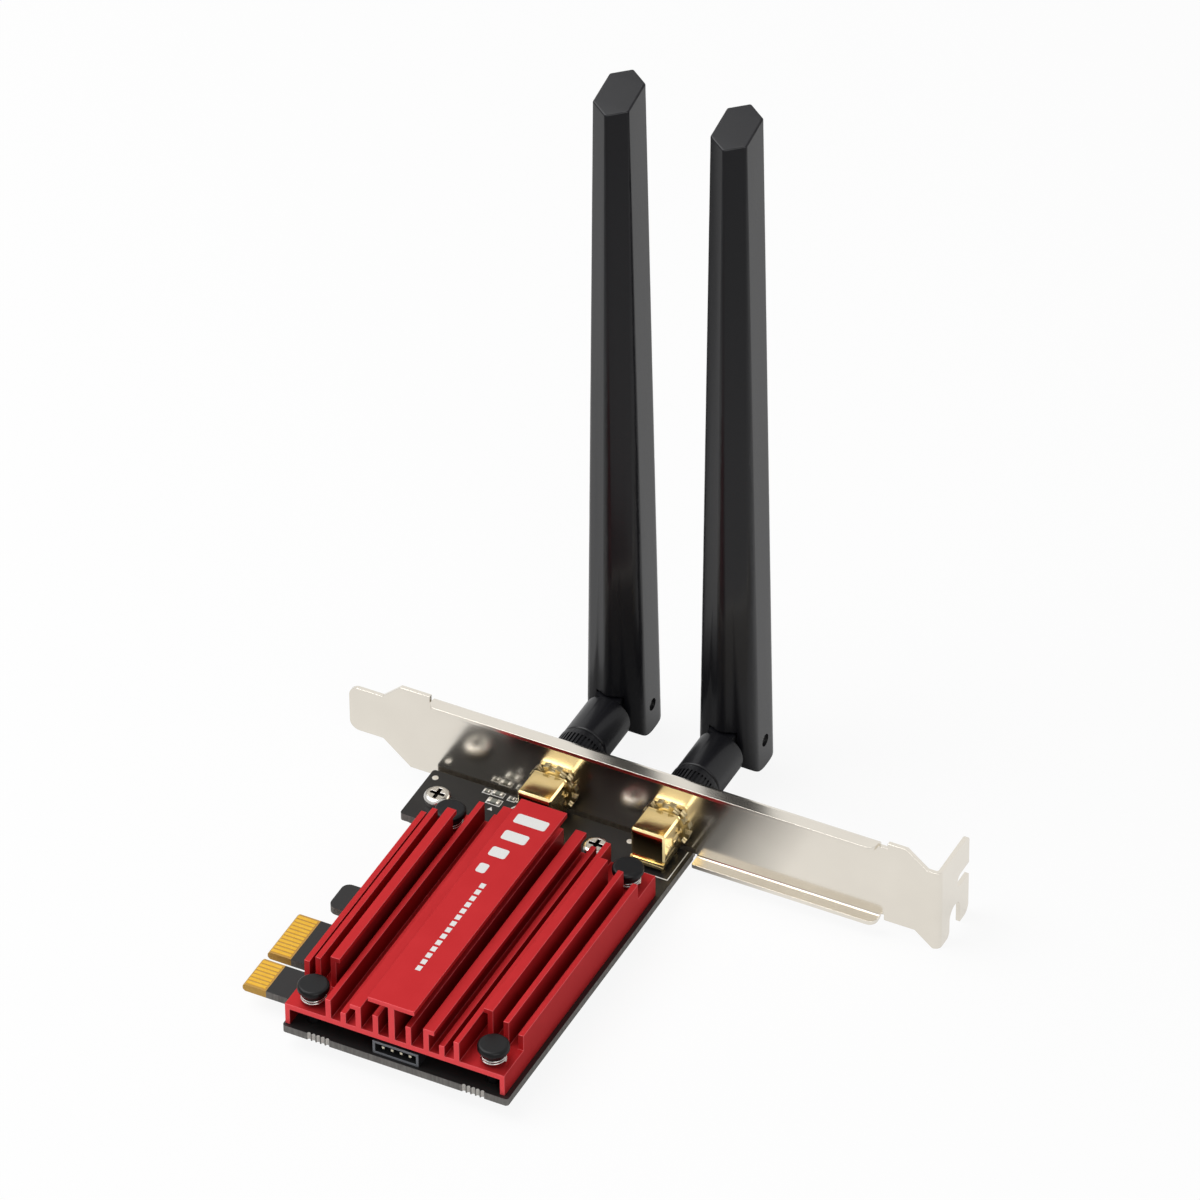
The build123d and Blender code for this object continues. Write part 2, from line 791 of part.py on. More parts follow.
def antenna_base(x):
    """Knuckle: retained neck, round body, and the flat tongue that the blade hinges on."""
    ring_end = ring_start + neck_ring_length
    body_start = collar_end + base_gap
    body_end = hinge_y - base_shoulder
    outer = base_diameter / 2
    knuckle = turned([
        (0, ring_start),
        (neck_ring, ring_start),
        (neck_ring, ring_end),
        (neck_radius, ring_end),
        (neck_radius, body_start),
        (outer, body_start),
        (outer, body_end),
        (0, body_end),
    ])
    rims = [e for e in knuckle.edges().filter_by(GeomType.CIRCLE) if e.radius > (outer + neck_ring) / 2]
    knuckle = fillet(rims, base_edge)
    flat = patch((-base_shoulder - base_edge, -tongue_radius), (0, tongue_radius)) + Circle(tongue_radius)
    flat -= Circle(hinge_pin_diameter / 2 + 2 * hinge_clearance)
    knuckle += extrude(facing_side(-tongue_thickness / 2, hinge_y, 0) * flat, tongue_thickness)
    return at_jack(knuckle, x)


def antenna_contact(x):
    """Plug of the aerial: insulated core with the socket for the jack's centre pin."""
    start = ring_start - plug_reach
    core = lying(start, ring_start, plug_diameter) - lying(start, ring_start - plug_floor, plug_hole)
    return at_jack(core, x)


def blade_section(width, depth, flat, corner):
    """Six-sided blade section: flat sides along Y, a ridge at the front and at the back."""
    half = width / 2
    face = make_face(Polyline(
        (half, -flat / 2),
        (half, flat / 2),
        (0, depth / 2),
        (-half, flat / 2),
        (-half, -flat / 2),
        (0, -depth / 2),
        close=True,
    ))
    return fillet(face.vertices(), corner)


def antenna_blade(x):
    """Aerial blade: tapering six-sided moulding, sloped top, forked foot round the base's tongue."""
    foot = blade_section(blade_foot_width, blade_foot_depth, blade_foot_flat, blade_foot_corner)
    top = blade_section(blade_top_width, blade_top_depth, blade_top_flat, blade_top_corner)
    loft_top = blade_length + blade_top_depth * blade_top_slope
    blade = loft([Pos(0, 0, -fork_reach) * foot, Pos(0, 0, loft_top) * top])
    slope = Plane(origin=(0, 0, blade_length), x_dir=(1, 0, 0), z_dir=(0, -blade_top_slope, 1))
    blade = split(blade, slope, keep=Keep.BOTTOM)
    blade = fillet(blade.faces().sort_by(Axis.Z)[-1].edges(), blade_top_edge)
    far = blade_foot_depth
    across = facing_side(-blade_foot_width, 0, 0)
    doorway = base_diameter / 2 + fork_clearance
    heel = blade_foot_depth / 2 - fork_reach
    foot_shape = Circle(fork_reach) + Pos(heel, 0) * Circle(fork_reach)
    foot_shape += patch((0, -fork_reach), (heel, 0)) + patch((-fork_reach, 0), (far, doorway))
    blade -= extrude(across * (patch((-far, -far), (far, doorway)) - foot_shape), 2 * blade_foot_width)
    room = tongue_radius + fork_clearance
    slot = Circle(room) + patch((-far, -far), (0, room)) + patch((-room, -far), (room, 0))
    gap = tongue_thickness / 2 + fork_clearance
    blade -= extrude(facing_side(-gap, 0, 0) * slot, 2 * gap)
    blade -= extrude(across * Circle(hinge_pin_diameter / 2 + hinge_clearance), 2 * blade_foot_width)
    thick = radiator_thickness / 2 + radiator_clearance
    wide = radiator_width / 2 + radiator_clearance
    blade -= box((-thick, -wide, 0), (thick, wide, room + radiator_length + radiator_clearance))
    return Pos(x, hinge_y, jack_height) * blade


def hinge_pin(x):
    """Steel pin through the blade's ears and the base's tongue."""
    half = blade_foot_width / 2 - hinge_pin_recess
    return extrude(facing_side(x - half, hinge_y, jack_height) * Circle(hinge_pin_diameter / 2), 2 * half)


def radiator_strip(x):
    """Radiating strip held in the blade's inner slot, its foot above the hinge's tongue."""
    start = tongue_radius + fork_clearance
    half = radiator_thickness / 2
    strip = box((-half, -radiator_width / 2, start), (half, radiator_width / 2, start + radiator_length))
    return Pos(x, hinge_y, jack_height) * strip


nodes = {
    "circuit_board": [board()],
    "edge_contacts_top": contacts(board_top),
    "edge_contacts_bottom": contacts(board_bottom - contact_thickness),
    "bracket": [bracket()],
    "bracket_screws": [ear_screw(x, y) for x, y in ear_screws],
    "heatsink": [heatsink()],
    "push_pins": [push_pin(x, y) for x, y in pin_spots],
    "push_pin_springs": [coil_spring(x, y) for x, y in pin_spots],
    "thermal_pad": [thermal_pad()],
    "radio_board": [radio_board()],
    "radio_shield": [radio_shield()],
    "radio_socket": [radio_socket()],
    "radio_standoff": [radio_standoff()],
    "radio_screw": [radio_screw()],
    "header_shroud": [header_shroud()],
    "header_pins": header_pin_row(),
}
for side, x in (("left", jack_left), ("right", jack_right)):
    nodes[side + "_jack"] = [coax_jack(x)]
    nodes[side + "_jack_insulator"] = [jack_insulator(x)]
    nodes[side + "_jack_pin"] = [jack_pin(x)]
    nodes[side + "_lock_washer"] = [lock_washer(x)]
    nodes[side + "_jack_nut"] = [jack_nut(x)]
    nodes[side + "_antenna_collar"] = [antenna_collar(x)]
    nodes[side + "_antenna_base"] = [antenna_base(x)]
    nodes[side + "_antenna_contact"] = [antenna_contact(x)]
    nodes[side + "_antenna_blade"] = [antenna_blade(x)]
    nodes[side + "_hinge_pin"] = [hinge_pin(x)]
    nodes[side + "_radiator_strip"] = [radiator_strip(x)]

os.makedirs("parts", exist_ok=True)
for name, pieces in nodes.items():
    solids = [solid for piece in pieces for solid in piece.solids()]
    shape = Compound(children=solids) if len(solids) > 1 else solids[0]
    export_step(shape, f"parts/{name}.step")
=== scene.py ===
import json
import math

import bmesh
import bpy
from mathutils import Matrix, Vector

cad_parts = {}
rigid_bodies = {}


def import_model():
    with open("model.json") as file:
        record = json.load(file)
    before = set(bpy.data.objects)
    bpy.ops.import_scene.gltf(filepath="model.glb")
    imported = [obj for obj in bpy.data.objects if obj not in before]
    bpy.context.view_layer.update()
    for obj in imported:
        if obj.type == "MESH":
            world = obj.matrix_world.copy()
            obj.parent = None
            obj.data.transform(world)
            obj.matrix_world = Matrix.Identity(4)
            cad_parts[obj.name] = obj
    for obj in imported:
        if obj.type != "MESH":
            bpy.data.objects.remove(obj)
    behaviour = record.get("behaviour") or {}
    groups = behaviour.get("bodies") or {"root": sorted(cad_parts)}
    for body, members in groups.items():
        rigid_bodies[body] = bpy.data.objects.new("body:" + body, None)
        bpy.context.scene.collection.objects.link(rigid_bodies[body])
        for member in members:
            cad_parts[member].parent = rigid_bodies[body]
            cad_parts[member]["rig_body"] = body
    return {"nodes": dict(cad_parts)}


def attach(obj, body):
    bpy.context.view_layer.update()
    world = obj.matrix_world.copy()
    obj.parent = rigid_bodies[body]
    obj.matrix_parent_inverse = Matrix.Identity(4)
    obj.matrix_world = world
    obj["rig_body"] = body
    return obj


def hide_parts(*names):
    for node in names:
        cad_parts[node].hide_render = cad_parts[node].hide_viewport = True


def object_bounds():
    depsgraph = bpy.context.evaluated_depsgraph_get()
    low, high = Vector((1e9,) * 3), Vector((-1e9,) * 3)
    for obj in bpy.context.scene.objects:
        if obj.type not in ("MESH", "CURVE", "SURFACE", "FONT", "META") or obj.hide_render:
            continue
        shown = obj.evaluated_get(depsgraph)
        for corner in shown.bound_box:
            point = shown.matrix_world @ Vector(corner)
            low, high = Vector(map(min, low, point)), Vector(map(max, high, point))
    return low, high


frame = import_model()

nodes = frame["nodes"]
cad_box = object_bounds()


# Circuit board: glass-fibre laminate under black solder mask, routed to its outline.
# The mask stops short of the contact tongues, where bare laminate shows between the gold,
# and the routed edges show the cut fibres.
mm = 0.001
merge_reach = 0.0005 * mm
board_level = 0.8
board_top = board_level * mm
board_middle = 34.36 * mm
torn_apart = 15.55 * mm
torn_half = 2.6 * mm
torn_edge = -14.9 * mm
torn_depth = 0.24 * mm
mask_lap = 0.03 * mm
mask_start = 4.75 * mm
tongue_end = 13.0 * mm
laminate_yellow = (0.50, 0.29, 0.06, 1)
mask_black = (0.009, 0.0085, 0.0085, 1)
mask_worn = (0.019, 0.018, 0.018, 1)
cut_fibre = (0.075, 0.070, 0.066, 1)
frayed_fibre = (0.30, 0.29, 0.27, 1)
torn_fibre = (0.50, 0.48, 0.45, 1)


class Wire:
    """A shader socket. Sums on it add Math nodes, and node() adds any other node."""

    def __init__(self, tree, socket=None):
        self.tree = tree
        self.socket = socket

    def node(self, kind, settings, sockets, out=0):
        made = self.tree.nodes.new(kind)
        for name, value in settings.items():
            setattr(made, name, value)
        for key, value in sockets.items():
            if isinstance(value, Wire):
                self.tree.links.new(value.socket, made.inputs[key])
            else:
                made.inputs[key].default_value = value
        return Wire(self.tree, made.outputs[out])

    def math(self, operation, *values):
        return self.node("ShaderNodeMath", {"operation": operation}, dict(enumerate(values)))

    def __add__(self, other):
        return self.math("ADD", self, other)

    def __sub__(self, other):
        return self.math("SUBTRACT", self, other)

    def __rsub__(self, other):
        return self.math("SUBTRACT", other, self)

    def __mul__(self, other):
        return self.math("MULTIPLY", self, other)

    def __lt__(self, other):
        return self.math("LESS_THAN", self, other)

    def __gt__(self, other):
        return self.math("GREATER_THAN", self, other)

    def __abs__(self):
        return self.math("ABSOLUTE", self)

    __radd__ = __add__
    __rmul__ = __mul__

    def along(self, axis):
        return self.node("ShaderNodeSeparateXYZ", {}, {"Vector": self}, axis)

    def stretched(self, x, y, z):
        return self.node("ShaderNodeVectorMath", {"operation": "MULTIPLY"}, {0: self, 1: (x, y, z)})

    def noise(self, scale, detail=3.0):
        return self.node("ShaderNodeTexNoise", {}, {"Vector": self, "Scale": scale, "Detail": detail}, "Fac")

    def between(self, dark, light):
        return self.node("ShaderNodeMix", {"data_type": "RGBA"}, {0: self, 6: dark, 7: light}, 2)

    def bump(self, depth, strength=1.0):
        sockets = {"Strength": strength, "Distance": depth, "Height": self}
        return self.node("ShaderNodeBump", {}, sockets, "Normal")


def finish(name, make):
    """A material: make() takes the Object coordinates and gives what each shader socket takes."""
    material = bpy.data.materials.new(name)
    material.use_nodes = True
    tree = material.node_tree
    shader = tree.nodes["Principled BSDF"]
    place = Wire(tree).node("ShaderNodeTexCoord", {}, {}, "Object")
    for socket, value in make(place).items():
        if isinstance(value, Wire):
            tree.links.new(value.socket, shader.inputs[socket])
        else:
            shader.inputs[socket].default_value = value
    return material


def piece(name, mesh, body, material, crease=0.7):
    """Turns a bmesh into a finished piece that rides on a body."""
    bmesh.ops.remove_doubles(mesh, verts=mesh.verts, dist=merge_reach)
    bmesh.ops.recalc_face_normals(mesh, faces=mesh.faces)
    for face in mesh.faces:
        face.smooth = True
    data = bpy.data.meshes.new(name)
    mesh.to_mesh(data)
    mesh.free()
    data.set_sharp_from_angle(angle=crease)
    data.materials.append(material)
    made = bpy.data.objects.new(name, data)
    bpy.context.scene.collection.objects.link(made)
    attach(made, body)
    return made


def broken_edges(node, width, material, corner=0.6):
    """A copy of a piece with its sharp edges broken by width, or left sharp at 0; it stands for the piece."""
    mesh = bmesh.new()
    mesh.from_mesh(nodes[node].data)
    bmesh.ops.remove_doubles(mesh, verts=mesh.verts, dist=merge_reach)
    if width:
        bmesh.ops.dissolve_limit(mesh, angle_limit=0.005, verts=mesh.verts, edges=mesh.edges)
        sharp = [edge for edge in mesh.edges if edge.calc_face_angle(0) > corner]
        bmesh.ops.bevel(mesh, geom=sharp, offset=width, offset_type="OFFSET", segments=2, profile=0.5,
                        affect="EDGES", clamp_overlap=True, material=-1)
    made = piece(node + "_finished", mesh, nodes[node]["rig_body"], material)
    weighted = made.modifiers.new("even_shading", "WEIGHTED_NORMAL")
    weighted.keep_sharp = True
    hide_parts(node)
    return made


def solder_mask(place):
    x, y, z = (place.along(axis) for axis in "XYZ")
    weave = (x * 5200).math("SINE", x * 5200) * (y * 5200).math("SINE", y * 5200)
    pour = place.stretched(1, 1, 0).noise(260, 2)
    grain = place.noise(9000, 2)
    frayed = place.stretched(1, 1, 0.2).noise(2600, 3)
    routed = abs(z) < board_top - mask_lap
    bare = (x < mask_start) * (y < tongue_end)
    torn = (abs(abs(x - board_middle) - torn_apart) < torn_half) * (abs(y - torn_edge) < torn_depth)
    face = (grain * 0.6).between(mask_black, mask_worn)
    edge = torn.between((frayed * 0.7).between(cut_fibre, frayed_fibre), torn_fibre)
    return {
        "Base Color": bare.between(routed.between(face, edge), laminate_yellow),
        "Roughness": 0.36 + grain * 0.10 + routed * 0.25,
        "Specular IOR Level": 0.3,
        "Normal": (weave * 0.35 + grain * 0.4 + pour * 1.5).bump(0.006 * mm, 0.6),
    }


board_finish = finish("solder_mask", solder_mask)
broken_edges("circuit_board", 0.06 * mm, board_finish)


# Edge contacts: hard gold over nickel, one strip for each finger on both sides of the tongues.
# Fine wipe marks run along each finger, the way it slides into its socket.
def hard_gold(place):
    wipes = place.stretched(400, 9000, 9000).noise(1.0, 4)
    cloud = place.noise(700, 2)
    return {
        "Base Color": cloud.between((0.74, 0.40, 0.035, 1), (0.86, 0.52, 0.075, 1)),
        "Metallic": 1.0,
        "Roughness": 0.22 + wipes * 0.14,
        "Normal": wipes.bump(0.003 * mm, 0.5),
    }


finger_gold = finish("contact_gold", hard_gold)
for node in ("edge_contacts_top", "edge_contacts_bottom"):
    nodes[node].material_slots[0].material = finger_gold


# Sighting dots: bare tinned copper where the mask is left open, for a placing machine to sight on.
# Each one is a thin disc with a sloping rim that stands a hair above the mask.
sighting_dots = ((5.0, 57.0), (45.0, 56.85))
dot_radius = 0.62
dot_top_radius = 0.58
land_thickness = 0.035


def bright_tin(place):
    skin = place.noise(2500, 3)
    return {
        "Base Color": skin.between((0.62, 0.60, 0.56, 1), (0.80, 0.78, 0.74, 1)),
        "Metallic": 1.0,
        "Roughness": 0.24 + skin * 0.16,
        "Normal": skin.bump(0.012 * mm, 0.5),
    }


tin = finish("bright_tin", bright_tin)
lands = bmesh.new()
for x, y in sighting_dots:
    lift = Matrix.Translation((x * mm, y * mm, (board_level + land_thickness / 2) * mm))
    bmesh.ops.create_cone(lands, cap_ends=True, segments=32, radius1=dot_radius * mm,
                          radius2=dot_top_radius * mm, depth=land_thickness * mm, matrix=lift)
piece("board_lands", lands, "card", tin)


# Solder: a small concave cone of tin under the board, round each leg of the jacks and each header pin.
# Each one is spun from the curve that wets up from its rim to the leg.
jack_middles = (28.1, 51.2)
jack_leg_aside = 2.54
jack_leg_y = (52.56, 57.64)
jack_core_y = 55.1
header_pin_x = (31.4, 33.2, 35.0, 36.8)
header_pin_y = -8.95


def solder_cone(mesh, x, y, leg, land, rise):
    """Solder under the board: the leg's radius, the radius that is wetted, and the climb. Millimetres."""
    foot = -board_level
    curve = ((land, foot), (land * 0.94, -0.86), (leg + 0.30, foot - rise * 0.28),
             (leg + 0.12, foot - rise * 0.6), (leg + 0.02, foot - rise), (0.0, foot - rise * 1.06))
    points = [mesh.verts.new(((x + r) * mm, y * mm, z * mm)) for r, z in curve]
    sides = [mesh.edges.new(pair) for pair in zip(points, points[1:])]
    bmesh.ops.spin(mesh, geom=points + sides, cent=(x * mm, y * mm, 0), axis=(0, 0, 1),
                   angle=math.tau, steps=28, use_merge=True)


solder = bmesh.new()
for middle in jack_middles:
    for dx in (-jack_leg_aside, jack_leg_aside):
        for y in jack_leg_y:
            solder_cone(solder, middle + dx, y, 0.5, 1.15, 1.25)
    solder_cone(solder, middle, jack_core_y, 0.45, 0.95, 1.2)
for x in header_pin_x:
    solder_cone(solder, x, header_pin_y, 0.33, 0.72, 1.0)
bmesh.ops.holes_fill(solder, edges=[edge for edge in solder.edges if edge.is_boundary], sides=0)
piece("solder_joints", solder, "card", tin, 1.2)


# Placement print: thin white ink on both faces of the board, plain outlines and tick marks only.
# It is screened on after the mask, so it stands a hair above it.
ink_height = 0.025
ink_width = 0.2
print_clearance = 0.56
pin_mark_y = -7.1
pin_mark_half = 0.3


def ink_line(mesh, start, end, level, width=ink_width):
    """A straight stroke of ink from start to end on a level. Millimetres."""
    a, b = Vector(start), Vector(end)
    middle = (a + b) / 2
    turn = Matrix.Rotation(math.atan2(b.y - a.y, b.x - a.x), 4, "Z")
    size = Matrix.Diagonal(((b - a).length * mm + width * mm, width * mm, ink_height * mm, 1))
    place = Matrix.Translation((middle.x * mm, middle.y * mm, (level + ink_height / 2) * mm))
    bmesh.ops.create_cube(mesh, size=1, matrix=place @ turn @ size)


def ink_frame(mesh, middle, length, width, level):
    """A rectangle's outline in one stroke that closes on itself. Millimetres, to the outside of the ink."""
    place = Matrix.Translation((middle[0] * mm, middle[1] * mm, level * mm))
    size = Matrix.Diagonal((length * mm, width * mm, 1, 1))
    corners = bmesh.ops.create_grid(mesh, x_segments=1, y_segments=1, size=0.5, matrix=place @ size)["verts"]
    inside = corners[0].link_faces[0]
    outline = bmesh.ops.inset_region(mesh, faces=[inside], thickness=ink_width * mm, use_boundary=True,
                                     use_even_offset=True)["faces"]
    bmesh.ops.delete(mesh, geom=[inside], context="FACES")
    raised = bmesh.ops.extrude_face_region(mesh, geom=outline, use_keep_orig=True)["geom"]
    top = [part for part in raised if isinstance(part, bmesh.types.BMVert)]
    bmesh.ops.translate(mesh, verts=top, vec=(0, 0, ink_height * mm))


def ink_spot(mesh, x, y, radius, sides, level):
    """A filled spot of ink with a number of sides. Millimetres."""
    place = Matrix.Translation((x * mm, y * mm, (level + ink_height / 2) * mm))
    bmesh.ops.create_cone(mesh, cap_ends=True, segments=sides, radius1=radius * mm, radius2=radius * mm,
                          depth=ink_height * mm, matrix=place)


def white_ink(place):
    speckle = place.noise(6000, 3)
    return {
        "Base Color": speckle.between((0.62, 0.62, 0.60, 1), (0.84, 0.84, 0.82, 1)),
        "Roughness": 0.5 + speckle * 0.15,
    }


ink = finish("white_ink", white_ink)
chips = ((15.35, 57.75, 1.1, 0.8), (17.5, 57.95, 2.0, 0.9), (17.8, 55.7, 2.4, 1.2), (20.4, 57.8, 1.1, 0.8))
marks = bmesh.new()
ink_line(marks, (46.6, 50.2), (55.9, 50.2), board_level)
ink_line(marks, (55.9, 50.45), (55.9, 58.7), board_level)
for x, y, length, width in chips:
    ink_frame(marks, (x, y), length + print_clearance, width + print_clearance, board_level)
ink_spot(marks, 18.05, 53.6, 0.6, 3, board_level)
ink_spot(marks, 21.5, 57.6, 0.25, 24, board_level)
ink_line(marks, (21.5, 55.6), (21.9, 56.3), board_level, 0.3)
ink_line(marks, (22.1, 55.3), (22.4, 55.9), board_level, 0.3)
below = -board_level - ink_height
for middle in jack_middles:
    ink_frame(marks, (middle, 54.8), 8.6, 7.8, below)
ink_frame(marks, (34.1, -9.0), 9.4, 3.0, below)
ink_frame(marks, (34.0, 23.0), 22.2, 30.2, below)
for x in header_pin_x:
    ink_line(marks, (x - pin_mark_half, pin_mark_y), (x + pin_mark_half, pin_mark_y), below)
piece("board_print", marks, "card", ink)


# Small chip parts by the left jack: ceramic chips with tinned ends, lying flat on the board.
# They are placed where the outlines are printed. Lengths and widths are shares of the chip's own.
chip_level = 1.01
body_length = 0.7
body_width = 0.94
body_height = 0.36
end_place = 0.37
end_length = 0.26
end_height = 0.4
chip_bodies = bmesh.new()
chip_ends = bmesh.new()
for x, y, length, width in chips:
    lift = Matrix.Translation((x * mm, y * mm, chip_level * mm))
    block = Matrix.Diagonal((length * body_length * mm, width * body_width * mm, body_height * mm, 1))
    bmesh.ops.create_cube(chip_bodies, size=1, matrix=lift @ block)
    for dx in (-end_place, end_place):
        end = Matrix.Translation((dx * length * mm, 0, 0))
        end = end @ Matrix.Diagonal((length * end_length * mm, width * mm, end_height * mm, 1))
        bmesh.ops.create_cube(chip_ends, size=1, matrix=lift @ end)
for mesh in (chip_bodies, chip_ends):
    bmesh.ops.bevel(mesh, geom=mesh.edges[:], offset=0.04 * mm, offset_type="OFFSET", segments=2, profile=0.5,
                    affect="EDGES", material=-1)


def fired_ceramic(place):
    grain = place.noise(8000, 2)
    return {
        "Base Color": grain.between((0.16, 0.17, 0.15, 1), (0.27, 0.28, 0.25, 1)),
        "Roughness": 0.45 + grain * 0.1,
    }


piece("chip_bodies", chip_bodies, "card", finish("fired_ceramic", fired_ceramic))
piece("chip_ends", chip_ends, "card", tin)


# Radio module: a small board in an edge socket, held down by one screw on a brass stand-off.
# It sits under the heatsink, and only its edges show through the gap.
def green_mask(place):
    grain = place.noise(5000, 3)
    return {
        "Base Color": grain.between((0.008, 0.045, 0.022, 1), (0.016, 0.07, 0.036, 1)),
        "Roughness": 0.36 + grain * 0.12,
        "Normal": grain.bump(0.004 * mm, 0.5),
    }


def tinned_lid(place):
    rolled = place.stretched(900, 6000, 6000).noise(1.0, 3)
    return {
        "Base Color": rolled.between((0.58, 0.58, 0.58, 1), (0.70, 0.70, 0.69, 1)),
        "Metallic": 1.0,
        "Roughness": 0.26 + rolled * 0.14,
    }


def socket_black(place):
    grain = place.noise(7000, 2)
    return {
        "Base Color": grain.between((0.020, 0.020, 0.021, 1), (0.032, 0.032, 0.033, 1)),
        "Roughness": 0.5 + grain * 0.12,
        "Normal": grain.bump(0.004 * mm, 0.4),
    }


def turned_brass(place):
    tool = place.stretched(200, 200, 9000).noise(1.0, 3)
    return {
        "Base Color": tool.between((0.58, 0.40, 0.14, 1), (0.72, 0.52, 0.20, 1)),
        "Metallic": 1.0,
        "Roughness": 0.22 + tool * 0.15,
    }


def soft_pad(place):
    grain = place.noise(4000, 4)
    return {"Base Color": grain.between((0.28, 0.31, 0.36, 1), (0.38, 0.41, 0.46, 1)), "Roughness": 0.8}


nodes["radio_board"].material_slots[0].material = finish("module_mask", green_mask)
nodes["radio_shield"].material_slots[0].material = finish("tin_plate", tinned_lid)
nodes["radio_socket"].material_slots[0].material = finish("socket_plastic", socket_black)
nodes["radio_standoff"].material_slots[0].material = finish("standoff_brass", turned_brass)
nodes["thermal_pad"].material_slots[0].material = finish("thermal_silicone", soft_pad)


# Header: a low moulded shroud at the front edge with four square pins in pale flash gold.
# Its mouth faces the front, just under the heatsink, and the rim of the mouth is painted paler as a painted
# highlight.
header_front = -14.6 * mm


def rim_highlight_moulding(place):
    grain = place.noise(6000, 3)
    # Painted highlight: the front face of the shroud is painted grey, the rest near black.
    rim = place.along("Y") < header_front + 0.10 * mm
    highlight_grey = grain.between((0.09, 0.095, 0.105, 1), (0.17, 0.175, 0.19, 1))
    return {
        "Base Color": rim.between((0.014, 0.014, 0.015, 1), highlight_grey),
        "Roughness": 0.36 + grain * 0.12,
        "Specular IOR Level": 0.3,
        "Normal": grain.bump(0.004 * mm, 0.4),
    }


def flash_gold(place):
    skin = place.noise(3000, 2)
    return {
        "Base Color": skin.between((0.80, 0.72, 0.52, 1), (0.92, 0.86, 0.70, 1)),
        "Metallic": 1.0,
        "Roughness": 0.20 + skin * 0.12,
    }


broken_edges("header_shroud", 0.07 * mm, finish("header_plastic", rim_highlight_moulding))
nodes["header_pins"].material_slots[0].material = finish("flash_gold", flash_gold)


# Heatsink: one aluminium extrusion, sawn to length, milled away round the push pins and anodised red.
# Die lines run along the fins and the sawn ends are duller and paler. Sharp edges that don't face left are
# painted paler, partly for thin dye and partly as a painted highlight.
# The walls between the fins are painted darker towards the bottom, as painted shade.
sink_ends = (-14.5 * mm, 45.6 * mm)
sawn_skin = 0.08 * mm
sink_middle = 33.85 * mm
sink_half = 22.0 * mm
gap_shade_top = 11.0 * mm
gap_shade_fade = 5.0 * mm
anodised_deep = (0.47, 0.019, 0.022, 1)
anodised_clear = (0.58, 0.033, 0.037, 1)
sawn_pink = (0.88, 0.085, 0.095, 1)
thin_dye_and_highlight = (0.70, 0.13, 0.14, 1)
painted_gap_shade = (0.12, 0.002, 0.003, 1)


def red_anodised(place):
    x, y, z = (place.along(axis) for axis in "XYZ")
    die_lines = place.stretched(9000, 60, 9000).noise(1.0, 4)
    blast = place.noise(14000, 2)
    cloud = place.noise(160, 2)
    sawn = (y < sink_ends[0] + sawn_skin) + (y > sink_ends[1] - sawn_skin)
    saw_marks = place.stretched(60, 60, 7000).noise(1.0, 3)
    facing = place.node("ShaderNodeNewGeometry", {}, {}, "True Normal")
    sideways = facing.along("X")
    # Thin dye and painted highlight: bevels that don't face left are painted paler.
    slant = (abs(sideways) + abs(facing.along("Y")) + abs(facing.along("Z")) - 1) * (sideways > -0.1)
    # Painted shade: the inner walls between the fins darken towards the bottom.
    depth = (gap_shade_top - z) * (1 / gap_shade_fade)
    depth = depth.node("ShaderNodeClamp", {}, {"Value": depth})
    walls = (abs(sideways) > 0.9) * (abs(x - sink_middle) < sink_half - 0.1 * mm)
    red = (cloud * 0.6 + die_lines * 0.3).between(anodised_deep, anodised_clear)
    red = (walls * depth * 0.8).between(red, painted_gap_shade)
    return {
        "Base Color": (slant * 2.2).between(sawn.between(red, sawn_pink), thin_dye_and_highlight),
        "Metallic": 0.45,
        "Roughness": 0.34 + blast * 0.08 + sawn * 0.1,
        "Specular IOR Level": 0.15,
        "Specular Tint": (1.0, 0.40, 0.40, 1),
        "Normal": (die_lines * 0.7 + blast * 0.25 + sawn * saw_marks * 0.8).bump(0.010 * mm, 0.35),
    }


red_finish = finish("red_anodised", red_anodised)
broken_edges("heatsink", 0.13 * mm, red_finish)


# Mark on the heatsink's plate: white ink, four rising bars for signal strength and a long dashed rule.
# It is screened on after anodising.
plate_top = 13.65
plate_middle = 33.4
bar_left = 3.2
bar_first = 1.9
bar_longer = 1.5
bar_start = 25.4
bar_pitch = 5.0
bar_width = 2.6
bar_corner = 0.5
rule_start = 21.2
rule_pitch = 1.9
rule_dash = 0.3
rule_width = 1.0
plate_print = bmesh.new()
for i in range(4):
    length = bar_first + bar_longer * i
    low = Matrix.Translation(((plate_middle - bar_left + length / 2) * mm, (bar_start + bar_pitch * i) * mm,
                              (plate_top + ink_height / 2) * mm))
    bmesh.ops.create_cube(plate_print, size=1,
                          matrix=low @ Matrix.Diagonal((length * mm, bar_width * mm, ink_height * mm, 1)))
uprights = [edge for edge in plate_print.edges if abs(edge.verts[0].co.z - edge.verts[1].co.z) > 0.01 * mm]
bmesh.ops.bevel(plate_print, geom=uprights, offset=bar_corner * mm, offset_type="OFFSET", segments=5,
                profile=0.5, affect="EDGES", material=-1)
for i in range(14):
    y = rule_start - rule_pitch * i
    ink_line(plate_print, (plate_middle, y), (plate_middle, y - rule_dash), plate_top, rule_width)
piece("plate_print", plate_print, "card", ink)


# Push pins: black nylon, pressed through heatsink and board until the split tail snaps out below.
# A plain wire spring under each head presses the heatsink down.
def black_nylon(place):
    grain = place.noise(5000, 3)
    return {
        "Base Color": grain.between((0.003, 0.003, 0.0034, 1), (0.006, 0.006, 0.0065, 1)),
        "Roughness": 0.30 + grain * 0.14,
        "Specular IOR Level": 0.22,
        "Normal": grain.bump(0.006 * mm, 0.4),
    }


def drawn_wire(place):
    drawn = place.noise(4000, 3)
    return {
        "Base Color": drawn.between((0.42, 0.41, 0.39, 1), (0.58, 0.57, 0.55, 1)),
        "Metallic": 1.0,
        "Roughness": 0.18 + drawn * 0.12,
    }


broken_edges("push_pins", 0.12 * mm, finish("black_nylon", black_nylon))
nodes["push_pin_springs"].material_slots[0].material = finish("spring_steel", drawn_wire)


